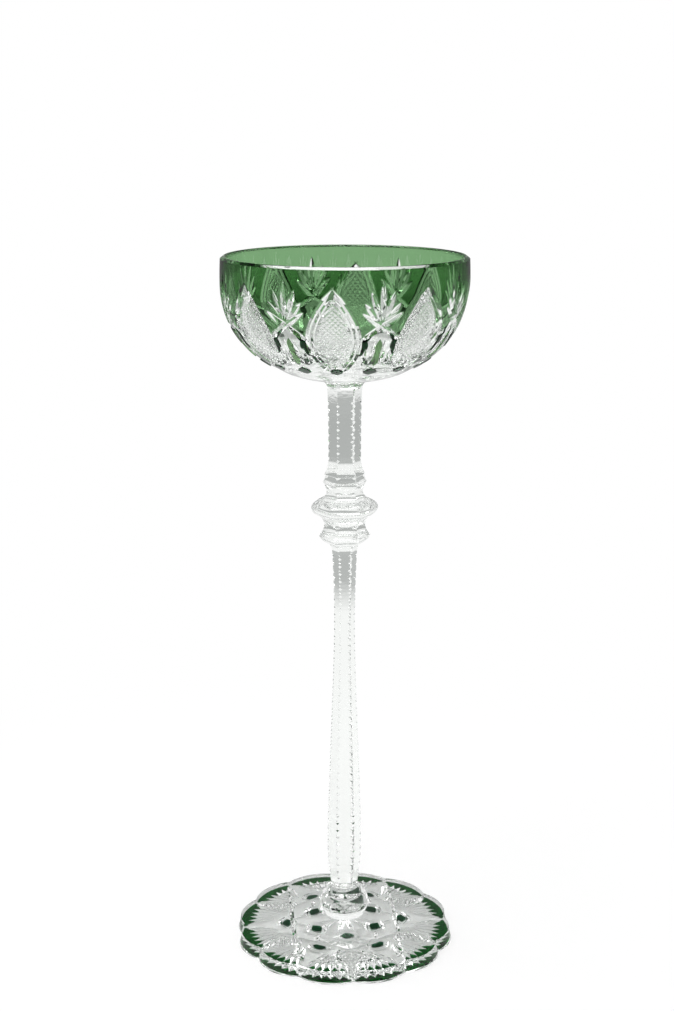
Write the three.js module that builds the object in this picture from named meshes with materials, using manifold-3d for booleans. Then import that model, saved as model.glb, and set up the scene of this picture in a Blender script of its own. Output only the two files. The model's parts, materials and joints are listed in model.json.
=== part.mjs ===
// A cut-glass champagne coupe in clear crystal, with what is left of a green casing on bowl and foot.
// Millimetres, +Z up, the axis of the glass is Z, and the foot rests on Z = 0.

import * as THREE from 'three';
import { mergeVertices } from 'three/addons/utils/BufferGeometryUtils.js';
import Module from 'manifold-3d';

// Foot
const footRadius = 45;               // over the lobes
const footLobes = 12;
const footScallopDepth = 2.6;        // how far the outline dips between two lobes
const footRimThickness = 4.3;        // clear glass at the outer edge
const footRimBevel = 0.8;
const footRise = 3.9;                // dome of the upper side above the rim
const footSeatRadius = 8.4;          // flat in the middle, under the button
const footCasingThickness = 0.7;
const footCasingInset = 0.9;         // clear border outside each crescent
const footCrescentWidth = 5.4;       // at the middle of a lobe
const footCrescentSpan = 13.4;       // half angle of a crescent, degrees
const footFanRays = 7;
const footFanBase = 29;              // radius from which the rays of a lobe spread
const footFanSpread = 58;            // half angle of the fan, degrees
const footRayMargin = 2.6;           // green left between a ray and the outline
const footRayDepth = 1.7;
const footStarOffset = 21;           // distance of the large star's lines from the axis
const footStarDepth = 1.9;
const footChainOffset = 11.6;        // distance of the small star's lines from the axis
const footChainDepth = 1.7;
const footLozengeLength = 5.8;
const footLozengeWidth = 4.4;

// Stem
const stemSides = 6;
const buttonHeight = 12;
const buttonRadius = 10;
const buttonTopRadius = 5.9;
const lowerShankHeight = 147.2;
const lowerShankFootRadius = 5.4;    // corner radii of the six-sided shank
const lowerShankSwellRadius = 6.9;
const lowerShankSwellAt = 0.17;      // share of the height
const lowerShankWaistRadius = 4.3;
const lowerShankWaistAt = 0.72;
const lowerShankTopRadius = 5.9;
const lowerCollarHeight = 8.4;
const lowerCollarRadius = 10.1;
const lowerCollarEdgeAt = 3.8;
const knopHeight = 13;
const knopRadius = 13.2;
const knopNeckRadius = 8.1;          // where the knop meets the lower collar
const upperCollarHeight = 6.8;
const upperCollarRadius = 8.65;
const upperCollarNeckRadius = 7.1;   // where the knop meets the upper collar
const upperCollarTopRadius = 7.6;
const upperCollarEdgeAt = 4;
const upperShankHeight = 34.2;
const upperShankFlareRadius = 8.05;
const upperShankRadius = 6.4;
const upperShankTopRadius = 6.8;
const upperShankFlareHeight = 6;
const mereseHeight = 3.6;
const mereseTopRadius = 9.4;
const notchPitch = 3.1;              // spacing of the nicks along each shank edge
const notchReach = 1.3;              // how far a nick runs along each side panel
const edgeFlat = 0.2;                // worn corner between two nicks
const notchMargin = 3.2;             // plain length at each end of a shank

// Bowl
const bowlHeight = 47.6;
const bowlRadius = 47.8;             // the widest place, outside
const rimRadius = 47.5;
const rimBelt = 9.6;                 // from the widest place up to the rim
const bowlFullness = 2.2;            // 2 is an ellipse, more is fuller
const wallThickness = 1.9;           // clear glass under the casing
const floorThickness = 5;
const bowlCasingThickness = 0.7;
const casingClearance = 0.1;
const bowlTurn = -10.5;              // degrees from the stem's front panel to an oval
const lipClear = 1.3;                // clear glass above the casing

// Cut pattern of the bowl, distances along the wall from the rim
const repeats = 8;
const ovalTop = 7.8;
const ovalBottom = 47;
const ovalHalfAngle = 12.6;          // degrees at the widest place
const ovalWidestAt = 0.56;           // share of its height
const ovalMitreDepth = 1;
const fanBaseAt = 21.8;
const fanLeaves = 7;
const fanSpread = 54;                // half angle of the fan, degrees
const fanLength = 14.2;              // middle leaf
const fanSideLength = 9.6;           // outermost leaf
const fanStart = 2.4;                // from the base to where a leaf starts
const leafDepth = 0.95;
const mitreHalfAngle = 50;           // of the cutting wheel's edge, degrees
const crossDrop = 6.4;               // how far the crossing mitres fall
const crossHalfAngle = 11;           // and how far they run to each side, degrees
const lensTop = 27.6;
const lensBottom = 40.6;
const lensWidth = 3.7;
const dropAt = 45.6;                 // ring of small lozenges near the bowl's base
const dropCount = 16;
const dropLength = 5;
const dropWidth = 3.4;

const wasm = await Module();
wasm.setup();

const turn = Math.PI * 2;
const radians = (degrees) => degrees * Math.PI / 180;
const mitreSlope = Math.tan(radians(mitreHalfAngle));

// Angle 0 is the front, -Y, and angles grow towards +X.
const around = (angle, radius, z) =>
  new THREE.Vector3(Math.sin(angle) * radius, -Math.cos(angle) * radius, z);

function closedGeometry(points, triangles) {
  const geometry = new THREE.BufferGeometry();
  const flat = points.flatMap((point) => [point.x, point.y, point.z]);
  geometry.setAttribute('position', new THREE.Float32BufferAttribute(flat, 3));
  geometry.setIndex(triangles);
  return geometry;
}

function welded(geometry) {
  geometry.deleteAttribute('normal');
  geometry.deleteAttribute('uv');
  const joined = mergeVertices(geometry, 1e-4);
  const index = Array.from(joined.index.array);
  const kept = [];
  for (let i = 0; i < index.length; i += 3) {
    const [a, b, c] = index.slice(i, i + 3);
    if (a !== b && b !== c && a !== c) kept.push(a, b, c);
  }
  joined.setIndex(kept);
  return joined;
}

function solidOf(geometry) {
  const mesh = new wasm.Mesh({
    numProp: 3,
    vertProperties: new Float32Array(geometry.attributes.position.array),
    triVerts: new Uint32Array(geometry.index.array),
  });
  return new wasm.Manifold(mesh);
}

function geometryOf(solid) {
  const mesh = solid.getMesh();
  const geometry = new THREE.BufferGeometry();
  const positions = new Float32Array(mesh.numVert * 3);
  for (let i = 0; i < mesh.numVert; i += 1) {
    for (let k = 0; k < 3; k += 1) positions[i * 3 + k] = mesh.vertProperties[i * mesh.numProp + k];
  }
  geometry.setAttribute('position', new THREE.BufferAttribute(positions, 3));
  geometry.setIndex(Array.from(mesh.triVerts));
  return geometry;
}

const without = (solid, tools) => tools.reduce((rest, tool) => rest.subtract(tool), solid);

// A body of revolution from an outline that runs up the outside.
function turned(outline, segments) {
  const lathe = new THREE.LatheGeometry(outline, segments);
  lathe.rotateX(Math.PI / 2);
  return welded(lathe);
}

// A closed body through rings of equal count, lowest first, each running counter-clockwise from above.
function loft(rings) {
  const count = rings[0].length;
  const points = rings.flat();
  const triangles = [];
  for (let row = 0; row < rings.length - 1; row += 1) {
    for (let i = 0; i < count; i += 1) {
      const a = row * count + i;
      const b = row * count + (i + 1) % count;
      triangles.push(a, b, b + count, a, b + count, a + count);
    }
  }
  for (const row of [0, rings.length - 1]) {
    const centre = new THREE.Vector3();
    rings[row].forEach((point) => centre.addScaledVector(point, 1 / count));
    points.push(centre);
    for (let i = 0; i < count; i += 1) {
      const a = row * count + i;
      const b = row * count + (i + 1) % count;
      triangles.push(points.length - 1, row ? a : b, row ? b : a);
    }
  }
  return closedGeometry(points, triangles);
}

// A closed body between an outline at one height over the glass and the same outline at another.
function prism(drawn, place, low, high) {
  const outline = THREE.ShapeUtils.isClockWise(drawn) ? [...drawn].reverse() : drawn;
  const count = outline.length;
  const points = [low, high].flatMap((height) => outline.map((spot) => place(spot.x, spot.y, height)));
  const triangles = [];
  for (const [a, b, c] of THREE.ShapeUtils.triangulateShape(outline, [])) {
    triangles.push(a, c, b, a + count, b + count, c + count);
  }
  for (let i = 0; i < count; i += 1) {
    const next = (i + 1) % count;
    triangles.push(i, next, next + count, i, next + count, i + count);
  }
  const solid = solidOf(closedGeometry(points, triangles));
  return solid.volume() > 0 ? solid : solidOf(closedGeometry(points, triangles.reverse()));
}

// What a V-edged wheel takes away along a path, deepest in the middle when it tapers.
function groove(path, place, scale, depth, tapers, lift) {
  const last = path.length - 1;
  const points = path.flatMap((spot, i) => {
    const before = path[Math.max(i - 1, 0)];
    const after = path[Math.min(i + 1, last)];
    const stretch = scale(spot);
    const along = new THREE.Vector2((after.x - before.x) * stretch, after.y - before.y).normalize();
    const share = i / last * 2 - 1;
    const cut = tapers ? depth * (1 - share * share) - 0.1 : depth;
    const reach = (lift + cut) * mitreSlope;
    const side = new THREE.Vector2(-along.y / stretch, along.x).multiplyScalar(reach);
    return [
      place(spot.x, spot.y, -cut),
      place(spot.x + side.x, spot.y + side.y, lift),
      place(spot.x - side.x, spot.y - side.y, lift),
    ];
  });
  const triangles = [0, 1, 2, last * 3, last * 3 + 2, last * 3 + 1];
  for (let i = 0; i < last; i += 1) {
    for (let k = 0; k < 3; k += 1) {
      const a = i * 3 + k;
      const b = i * 3 + (k + 1) % 3;
      triangles.push(a, a + 3, b + 3, a, b + 3, b);
    }
  }
  const solid = solidOf(closedGeometry(points, triangles));
  return solid.volume() > 0 ? solid : solidOf(closedGeometry(points, triangles.reverse()));
}

const stations = (count, from, to) =>
  Array.from({ length: count }, (unused, i) => from + (to - from) * i / (count - 1));

const straight = (from, to, count) =>
  stations(count, 0, 1).map((share) => new THREE.Vector2().lerpVectors(from, to, share));

// A pointed oval between two tips, given by its half width at each share of the way.
function pointed(from, to, halfWidth, count) {
  const along = new THREE.Vector2().subVectors(to, from).normalize();
  const across = new THREE.Vector2(-along.y, along.x);
  const edge = (side) => stations(count, 0, 1).map((share) =>
    new THREE.Vector2().lerpVectors(from, to, share)
      .addScaledVector(across, side * halfWidth * Math.sin(Math.PI * share)));
  return [...edge(1), ...edge(-1).reverse().slice(1, -1)];
}

const glass = new THREE.Group();

function addPiece(name, geometry, green) {
  const material = new THREE.MeshStandardMaterial({
    color: green ? 0x2c6b3c : 0xdfe6e4,
    roughness: 0.04,
    transparent: true,
    opacity: green ? 0.72 : 0.42,
  });
  const mesh = new THREE.Mesh(geometry, material);
  mesh.name = name;
  glass.add(mesh);
}

// Foot: a scalloped clear disc, green crescents and lozenges under it
const footUnderside = footCasingThickness + casingClearance;
const lobeAngle = turn / footLobes;
const lobeGapRadius = footRadius - footScallopDepth;
const lobeHalfChord = lobeGapRadius * Math.sin(lobeAngle / 2);
const lobeSagitta = footRadius - lobeGapRadius * Math.cos(lobeAngle / 2);
const lobeRadius = (lobeHalfChord ** 2 + lobeSagitta ** 2) / (2 * lobeSagitta);
const lobeCentre = footRadius - lobeRadius;

function footOutlineRadius(angle) {
  const local = ((angle % lobeAngle) + lobeAngle) % lobeAngle - lobeAngle / 2;
  const side = lobeCentre * Math.sin(local);
  return lobeCentre * Math.cos(local) + Math.sqrt(lobeRadius ** 2 - side ** 2);
}

function footRing(z, inset, round) {
  const perLobe = 6;
  return Array.from({ length: footLobes * perLobe }, (unused, i) => {
    const angle = turn * i / (footLobes * perLobe);
    return around(angle, round ?? footOutlineRadius(angle) - inset, z);
  });
}

const footTop = footUnderside + footRimThickness + footRise;
const footRimTop = footUnderside + footRimThickness;
const footDome = stations(3, 0, 1).map((share) => {
  const shape = share * share * (3 - 2 * share);
  const radius = footSeatRadius + (footRadius - footScallopDepth * 1.5 - footSeatRadius) * (1 - share);
  return footRing(footRimTop + footRise * (0.12 + 0.88 * shape), 0, radius);
});
const footBody = solidOf(loft([
  footRing(footUnderside, footRimBevel),
  footRing(footUnderside + footRimBevel, 0),
  footRing(footRimTop - footRimBevel, 0),
  footRing(footRimTop, footRimBevel),
  ...footDome,
]));

// Flat plan of the underside: x is the angle's arc in millimetres at unit radius, so plain x and y are used.
const underFoot = (x, y, height) => new THREE.Vector3(x, y, -height);
const plan = (angle, radius) => new THREE.Vector2(Math.sin(angle) * radius, -Math.cos(angle) * radius);
const evenScale = () => 1;

const crescents = [];
for (let lobe = 0; lobe < footLobes; lobe += 1) {
  const middle = lobeAngle * (lobe + 0.5);
  const rays = stations(footFanRays, -1, 1).map((share) => {
    const lean = middle + radians(footFanSpread) * share;
    const from = plan(middle, footFanBase).addScaledVector(plan(lean, 1), 2.2);
    let to = from.clone();
    while (to.length() < footOutlineRadius(Math.atan2(to.x, -to.y)) - footCasingInset - footRayMargin) {
      to.addScaledVector(plan(lean, 1), 0.2);
    }
    to.addScaledVector(plan(lean, 1), footRayMargin * 0.25);
    return groove(straight(from, to, 3), underFoot, evenScale, footRayDepth, true, 1);
  });
  const spread = stations(9, -radians(footCrescentSpan), radians(footCrescentSpan));
  const outer = spread.map((angle) =>
    plan(middle + angle, footOutlineRadius(middle + angle) - footCasingInset));
  const inner = spread.map((angle) => {
    const share = angle / radians(footCrescentSpan);
    const width = footCrescentWidth * (1 - share * share);
    return plan(middle + angle, footOutlineRadius(middle + angle) - footCasingInset - width);
  });
  const outline = [...outer, ...inner.reverse().slice(1, -1)];
  crescents.push(without(prism(outline, underFoot, -footCasingThickness, 0), rays));
}

const starHalfLength = footStarOffset * Math.tan(radians(60));
const chainNear = footChainOffset * Math.tan(radians(30));
const chainFar = footChainOffset * Math.tan(radians(60));
const starLines = [];
for (let line = 0; line < stemSides; line += 1) {
  const normal = turn * (line + 0.5) / stemSides;
  const onLine = (offset, along) => plan(normal, offset).addScaledVector(plan(normal + Math.PI / 2, 1), along);
  const lines = [
    [footStarOffset, -starHalfLength, starHalfLength, footStarDepth, 9],
    [footChainOffset, -chainNear, chainNear, footChainDepth, 4],
    [footChainOffset, chainNear, chainFar, footChainDepth, 4],
    [footChainOffset, -chainFar, -chainNear, footChainDepth, 4],
  ];
  for (const [offset, from, to, depth, count] of lines) {
    const path = straight(onLine(offset, from), onLine(offset, to), count);
    starLines.push(groove(path, underFoot, evenScale, depth, true, 1));
  }
}

const lozenges = [];
for (let i = 0; i < stemSides * 2; i += 1) {
  const inner = i < stemSides;
  const angle = turn * (i % stemSides + (inner ? 0 : 0.5)) / stemSides;
  const radius = inner ? footChainOffset / Math.cos(radians(30)) : footChainOffset / Math.cos(radians(60));
  const across = plan(angle + Math.PI / 2, footLozengeLength / 2);
  const middle = plan(angle, radius);
  const outline = pointed(middle.clone().sub(across), middle.clone().add(across), footLozengeWidth / 2, 4);
  lozenges.push(prism(outline, underFoot, -footCasingThickness, 0));
}
const lozengeSeats = lozenges.map((lozenge) => lozenge.translate([0, 0, casingClearance]));
const starTools = without(starLines.reduce((all, tool) => all.add(tool)), lozengeSeats);

addPiece('foot_crystal', geometryOf(footBody.subtract(starTools)), false);
crescents.forEach((solid, i) => addPiece(`foot_crescent_${i + 1}`, geometryOf(solid), true));
lozenges.forEach((solid, i) => addPiece(`foot_lozenge_${i + 1}`, geometryOf(solid), true));

// Stem: a round button, then six-sided pieces end to end
const buttonOutline = new THREE.SplineCurve([
  new THREE.Vector2(footSeatRadius, 0),
  new THREE.Vector2(buttonRadius, buttonHeight * 0.34),
  new THREE.Vector2((buttonRadius + buttonTopRadius) / 2 + 0.4, buttonHeight * 0.78),
  new THREE.Vector2(buttonTopRadius, buttonHeight),
]).getPoints(7);
const button = turned([new THREE.Vector2(0, 0), ...buttonOutline, new THREE.Vector2(0, buttonHeight)], 24);
button.translate(0, 0, footTop);
addPiece('foot_button', button, false);

const sixCorners = (radius, z) => Array.from({ length: stemSides }, (unused, i) =>
  around(turn * (i + 0.5) / stemSides, radius, z));

// A six-sided ring with two points at each corner, drawn apart where the edge is nicked.
function nickedRing(radius, z, nicked) {
  const corners = sixCorners(radius, z);
  const reach = nicked ? notchReach : edgeFlat;
  return corners.flatMap((corner, i) => {
    const before = corners[(i + stemSides - 1) % stemSides];
    const after = corners[(i + 1) % stemSides];
    return [before, after].map((other) => corner.clone().lerp(other, reach / corner.distanceTo(other)));
  });
}

function shank(radiusAt, base, height) {
  const nicks = Math.floor((height - notchMargin * 2) / notchPitch);
  const start = (height - nicks * notchPitch) / 2;
  const rings = [nickedRing(radiusAt(0), base, false)];
  for (let i = 0; i <= nicks * 2; i += 1) {
    const rise = start + i * notchPitch / 2;
    rings.push(nickedRing(radiusAt(rise / height), base + rise, i % 2 === 1));
  }
  rings.push(nickedRing(radiusAt(1), base + height, false));
  return loft(rings);
}

const lowerShankBase = footTop + buttonHeight;
const lowerShankOutline = new THREE.SplineCurve([
  new THREE.Vector2(0, lowerShankFootRadius),
  new THREE.Vector2(lowerShankSwellAt, lowerShankSwellRadius),
  new THREE.Vector2(lowerShankWaistAt, lowerShankWaistRadius),
  new THREE.Vector2(0.965, (lowerShankWaistRadius * 2 + lowerShankTopRadius) / 3),
  new THREE.Vector2(1, lowerShankTopRadius),
]).getPoints(160);
function radiusOn(outline, share) {
  const next = Math.max(1, outline.findIndex((spot) => spot.x >= share - 1e-9));
  const low = outline[next - 1];
  const high = outline[next];
  return low.y + (high.y - low.y) * (share - low.x) / (high.x - low.x);
}
addPiece('lower_shank',
  shank((share) => radiusOn(lowerShankOutline, share), lowerShankBase, lowerShankHeight), false);

const lowerCollarBase = lowerShankBase + lowerShankHeight;
const collarRings = (curves, base) => curves.flatMap((curve, i) =>
  curve.getPoints(4).slice(i ? 1 : 0).map((spot) => sixCorners(spot.x, base + spot.y)));
const bend = (fromRadius, fromRise, viaRadius, viaRise, toRadius, toRise) => new THREE.QuadraticBezierCurve(
  new THREE.Vector2(fromRadius, fromRise),
  new THREE.Vector2(viaRadius, viaRise),
  new THREE.Vector2(toRadius, toRise));
addPiece('lower_collar', loft(collarRings([
  bend(lowerShankTopRadius, 0, lowerCollarRadius * 0.95, lowerCollarEdgeAt * 0.35,
    lowerCollarRadius, lowerCollarEdgeAt),
  bend(lowerCollarRadius, lowerCollarEdgeAt, knopNeckRadius, lowerCollarEdgeAt + 2,
    knopNeckRadius, lowerCollarHeight),
], lowerCollarBase)), false);

const knopBase = lowerCollarBase + lowerCollarHeight;
addPiece('knop', loft(collarRings([
  bend(knopNeckRadius, 0, knopNeckRadius + 0.6, knopHeight * 0.22,
    (knopNeckRadius + knopRadius) / 2, knopHeight * 0.27),
  bend((knopNeckRadius + knopRadius) / 2, knopHeight * 0.27, knopRadius, knopHeight * 0.34,
    knopRadius, knopHeight * 0.53),
  bend(knopRadius, knopHeight * 0.53, knopRadius - 0.6, knopHeight * 0.7,
    (upperCollarNeckRadius + knopRadius) / 2 - 0.5, knopHeight * 0.77),
  bend((upperCollarNeckRadius + knopRadius) / 2 - 0.5, knopHeight * 0.77, upperCollarNeckRadius + 0.3,
    knopHeight * 0.85, upperCollarNeckRadius, knopHeight),
], knopBase)), false);

const upperCollarBase = knopBase + knopHeight;
addPiece('upper_collar', loft(collarRings([
  bend(upperCollarNeckRadius, 0, upperCollarNeckRadius + 0.3, upperCollarEdgeAt * 0.55,
    upperCollarRadius, upperCollarEdgeAt),
  bend(upperCollarRadius, upperCollarEdgeAt, upperCollarTopRadius + 0.2, upperCollarEdgeAt + 1,
    upperCollarTopRadius, upperCollarHeight),
], upperCollarBase)), false);

const upperShankBase = upperCollarBase + upperCollarHeight;
const flareShare = upperShankFlareHeight / upperShankHeight;
function upperShankRadiusAt(share) {
  if (share < flareShare) {
    return upperShankRadius + (upperShankFlareRadius - upperShankRadius) * (1 - share / flareShare) ** 2;
  }
  const rest = (share - flareShare) / (1 - flareShare);
  return upperShankRadius + (upperShankTopRadius - upperShankRadius) * rest ** 3;
}
addPiece('upper_shank', shank(upperShankRadiusAt, upperShankBase, upperShankHeight), false);

// Merese: turns the six-sided shank into the round seat of the bowl
const mereseBase = upperShankBase + upperShankHeight;
const mereseRings = stations(5, 0, 1).map((share) => {
  const perSide = 4;
  const radius = upperShankTopRadius + (mereseTopRadius - upperShankTopRadius) * share ** 2;
  return Array.from({ length: stemSides * perSide }, (unused, i) => {
    const local = turn / stemSides * ((i % perSide) / perSide - 0.5);
    const flat = Math.cos(turn / stemSides / 2) / Math.cos(local);
    const angle = turn / stemSides * Math.floor(i / perSide) + local;
    return around(angle, radius * (flat + (1 - flat) * share), mereseBase + mereseHeight * share);
  });
});
addPiece('merese', loft(mereseRings), false);

// Bowl wall: the outside line as radius and height, by distance along the wall from the rim
const bowlBase = mereseBase + mereseHeight;
const bowlRim = bowlBase + bowlHeight;
const beltHeight = bowlRim - rimBelt;
const roundDepth = bowlHeight - rimBelt;
const mereseSeatShare = mereseTopRadius / bowlRadius;
const lowestShare = (1 - mereseSeatShare ** bowlFullness) ** (1 / bowlFullness);

const bowlLine = [];
for (const share of stations(9, 0, 1)) {
  const radius = rimRadius + (bowlRadius - rimRadius) * (1 - (1 - share) ** 2);
  bowlLine.push(new THREE.Vector2(radius, bowlRim - rimBelt * share));
}
for (const share of stations(61, 0, 1).slice(1)) {
  const sweep = share * Math.acos(mereseSeatShare ** (bowlFullness / 2));
  const radius = bowlRadius * Math.cos(sweep) ** (2 / bowlFullness);
  const fall = roundDepth / lowestShare * Math.sin(sweep) ** (2 / bowlFullness);
  bowlLine.push(new THREE.Vector2(radius, beltHeight - fall));
}
const bowlRun = [0];
for (let i = 1; i < bowlLine.length; i += 1) bowlRun.push(bowlRun[i - 1] + bowlLine[i].distanceTo(bowlLine[i - 1]));

function wallSpot(run, height) {
  const limit = Math.min(Math.max(run, 0), bowlRun.at(-1) - 1e-6);
  const next = Math.max(1, bowlRun.findIndex((value) => value > limit));
  const share = (limit - bowlRun[next - 1]) / (bowlRun[next] - bowlRun[next - 1]);
  const spot = new THREE.Vector2().lerpVectors(bowlLine[next - 1], bowlLine[next], share);
  const before = bowlLine[Math.max(next - 2, 0)];
  const after = bowlLine[Math.min(next + 1, bowlLine.length - 1)];
  const along = new THREE.Vector2().subVectors(after, before).normalize();
  return spot.add(new THREE.Vector2(-along.y, along.x).multiplyScalar(height));
}

const patternTurn = radians(bowlTurn);
function onBowl(angle, run, height) {
  const spot = wallSpot(run, height);
  return around(angle + patternTurn, spot.x, spot.y);
}
const bowlScale = (spot) => wallSpot(spot.y, 0).x;

const bowlSegments = 48;
const crystalDepth = bowlCasingThickness + casingClearance;
const bandReach = fanBaseAt + crossDrop + bowlCasingThickness * mitreSlope * 2;
const shellRuns = stations(6, bandReach, lipClear + casingClearance);
const baseRuns = stations(6, bowlRun.at(-1), bandReach).slice(1, -1);
const inside = stations(8, 0, 1).map((share) => {
  const sweep = share * Math.PI / 2;
  const reach = bowlRadius - crystalDepth - wallThickness;
  const radius = reach * Math.cos(sweep) ** (2 / bowlFullness);
  const fall = (roundDepth - floorThickness) * Math.sin(sweep) ** (2 / bowlFullness);
  return new THREE.Vector2(share === 1 ? 0 : radius, beltHeight - fall);
});
const lipThickness = crystalDepth + wallThickness;
const lip = [
  wallSpot(lipClear, 0),
  new THREE.Vector2(rimRadius, bowlRim - lipThickness * 0.3),
  new THREE.Vector2(rimRadius - lipThickness * 0.3, bowlRim),
  new THREE.Vector2(rimRadius - lipThickness * 0.7, bowlRim),
  new THREE.Vector2(rimRadius - lipThickness, bowlRim - lipThickness * 0.3),
];
addPiece('bowl_crystal', turned([
  new THREE.Vector2(0, bowlBase),
  new THREE.Vector2(mereseTopRadius, bowlBase),
  ...[...baseRuns, ...shellRuns, lipClear].map((run) => wallSpot(run, -crystalDepth)),
  ...lip,
  ...inside,
], bowlSegments), false);

// Casing of the bowl: a thin green shell, cut away by the pattern
const shell = solidOf(turned([
  ...shellRuns.map((run) => wallSpot(run, 0)),
  ...shellRuns.map((run) => wallSpot(run, -bowlCasingThickness)).reverse(),
  wallSpot(bandReach, 0),
], bowlSegments));

const sector = turn / repeats;
const ovalLift = 4;
const windowTools = [];
for (let k = 0; k < repeats; k += 1) {
  const middle = sector * k;
  windowTools.push(solidOf(loft(stations(9, 0, 1).map((share) => {
    const bulge = share < ovalWidestAt
      ? Math.sin(Math.PI / 2 * share / ovalWidestAt)
      : Math.cos(Math.PI / 2 * (share - ovalWidestAt) / (1 - ovalWidestAt) * 0.8);
    const corner = (side, height) => {
      const spread = (height + ovalMitreDepth) * mitreSlope;
      const half = (radians(ovalHalfAngle) + spread / bowlRadius) * Math.max(bulge, 0.02);
      const top = ovalTop - spread;
      return onBowl(middle + half * side, top + (ovalBottom - top) * share, height);
    };
    return [corner(1, -ovalMitreDepth), corner(1, ovalLift), corner(-1, ovalLift), corner(-1, -ovalMitreDepth)];
  }))));

  const fan = sector * (k + 0.5);
  const base = new THREE.Vector2(fan, fanBaseAt);
  const scale = bowlScale(base);
  for (const share of stations(fanLeaves, -1, 1)) {
    const lean = radians(fanSpread) * share;
    const length = fanLength + (fanSideLength - fanLength) * share * share;
    const reach = new THREE.Vector2(Math.sin(lean) / scale, -Math.cos(lean));
    const from = base.clone().addScaledVector(reach, fanStart);
    const to = base.clone().addScaledVector(reach, length);
    windowTools.push(groove(straight(from, to, 3), onBowl, bowlScale, leafDepth, true, 1));
  }
  const arm = radians(crossHalfAngle);
  for (const side of [-1, 1]) {
    const foot = new THREE.Vector2(fan + arm * side, fanBaseAt + crossDrop);
    windowTools.push(groove(straight(base, foot, 2), onBowl, bowlScale, leafDepth, false, 1));
  }
  const half = sector / 2;
  windowTools.push(prism([
    base,
    new THREE.Vector2(fan + arm, fanBaseAt + crossDrop),
    new THREE.Vector2(fan + half, bandReach),
    new THREE.Vector2(fan + half, bandReach + 1),
    new THREE.Vector2(fan, bandReach + 1),
    new THREE.Vector2(fan - half, bandReach + 1),
    new THREE.Vector2(fan - half, bandReach),
    new THREE.Vector2(fan - arm, fanBaseAt + crossDrop),
  ], onBowl, -3, 6));
}
addPiece('bowl_casing', geometryOf(without(shell, windowTools)), true);

// A pointed island of casing that follows the wall downwards
function island(middle, top, bottom, width, count) {
  const half = width / 2 / bowlScale(new THREE.Vector2(middle, (top + bottom) / 2));
  return loft(stations(count, 0, 1).map((share) => {
    const run = top + (bottom - top) * share;
    const side = half * Math.max(Math.sin(Math.PI * share), 0.06);
    return [
      onBowl(middle + side, run, -bowlCasingThickness),
      onBowl(middle + side, run, 0),
      onBowl(middle - side, run, 0),
      onBowl(middle - side, run, -bowlCasingThickness),
    ];
  }));
}
for (let k = 0; k < repeats; k += 1) {
  const lens = island(sector * (k + 0.5), lensTop, lensBottom, lensWidth, 8);
  addPiece(`casing_lens_${k + 1}`, lens, true);
}
for (let k = 0; k < dropCount; k += 1) {
  const drop = island(turn * k / dropCount, dropAt - dropLength / 2, dropAt + dropLength / 2, dropWidth, 5);
  addPiece(`casing_drop_${k + 1}`, drop, true);
}

export default glass;
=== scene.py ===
# A tall champagne coupe in crystal cased with green and cut through to the clear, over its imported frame.
# Shapes are worked out in millimetres and brought to metres as each piece is finished.
import bisect
import json
import math

import bmesh
import bpy
from mathutils import Matrix, Vector

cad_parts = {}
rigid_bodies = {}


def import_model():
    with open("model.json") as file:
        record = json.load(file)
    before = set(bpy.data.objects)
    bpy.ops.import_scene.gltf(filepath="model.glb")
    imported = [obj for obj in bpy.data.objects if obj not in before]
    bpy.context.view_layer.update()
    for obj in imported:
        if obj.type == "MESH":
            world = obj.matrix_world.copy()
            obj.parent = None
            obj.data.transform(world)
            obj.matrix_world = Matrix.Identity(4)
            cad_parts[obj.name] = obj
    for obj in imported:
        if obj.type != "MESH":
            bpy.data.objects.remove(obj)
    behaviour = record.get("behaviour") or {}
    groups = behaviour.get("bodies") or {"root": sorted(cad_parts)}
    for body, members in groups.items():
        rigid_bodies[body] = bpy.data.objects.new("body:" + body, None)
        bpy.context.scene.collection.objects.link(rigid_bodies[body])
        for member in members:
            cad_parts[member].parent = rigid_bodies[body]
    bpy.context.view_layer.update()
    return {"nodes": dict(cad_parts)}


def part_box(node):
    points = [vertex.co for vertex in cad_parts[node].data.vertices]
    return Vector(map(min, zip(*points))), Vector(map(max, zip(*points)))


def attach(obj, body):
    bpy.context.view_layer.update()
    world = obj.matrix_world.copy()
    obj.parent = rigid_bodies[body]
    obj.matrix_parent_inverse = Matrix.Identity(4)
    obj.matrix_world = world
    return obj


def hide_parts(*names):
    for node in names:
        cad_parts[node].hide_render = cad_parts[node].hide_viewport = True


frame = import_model()
scene = bpy.context.scene
toMetres = 0.001
print("frame loaded:", len(frame["nodes"]), "nodes")


def around(angle, radius, height):  # degrees: 0 is the front, growing to the right
    turn = math.radians(angle)
    return Vector((math.sin(turn) * radius, -math.cos(turn) * radius, height))


def steps(count, first, last):  # even steps with both ends
    return [first + (last - first) * i / (count - 1) for i in range(count)]


# Camera, at the viewing angle of the photograph
cameraSet = {
    "side": -5.0,  # degrees to the left of the front
    "distance": 641.8,  # mm from the axis of the glass
    "height": 341.4,
    "tilt": 13.8,  # degrees down
    "aside": 0.27,  # degrees to the left, which sets the glass right of the middle
    "lens": 59.71,
    "sensor": 36,
}
lensData = bpy.data.cameras.new("studio_camera")
lensData.sensor_width = cameraSet["sensor"]
lensData.lens = cameraSet["lens"]
camera = bpy.data.objects.new("studio_camera", lensData)
camera.location = around(cameraSet["side"], cameraSet["distance"], cameraSet["height"]) * toMetres
camera.rotation_euler = (
    math.radians(90 - cameraSet["tilt"]), 0, math.radians(cameraSet["side"] + cameraSet["aside"]))
scene.collection.objects.link(camera)
scene.camera = camera


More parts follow.
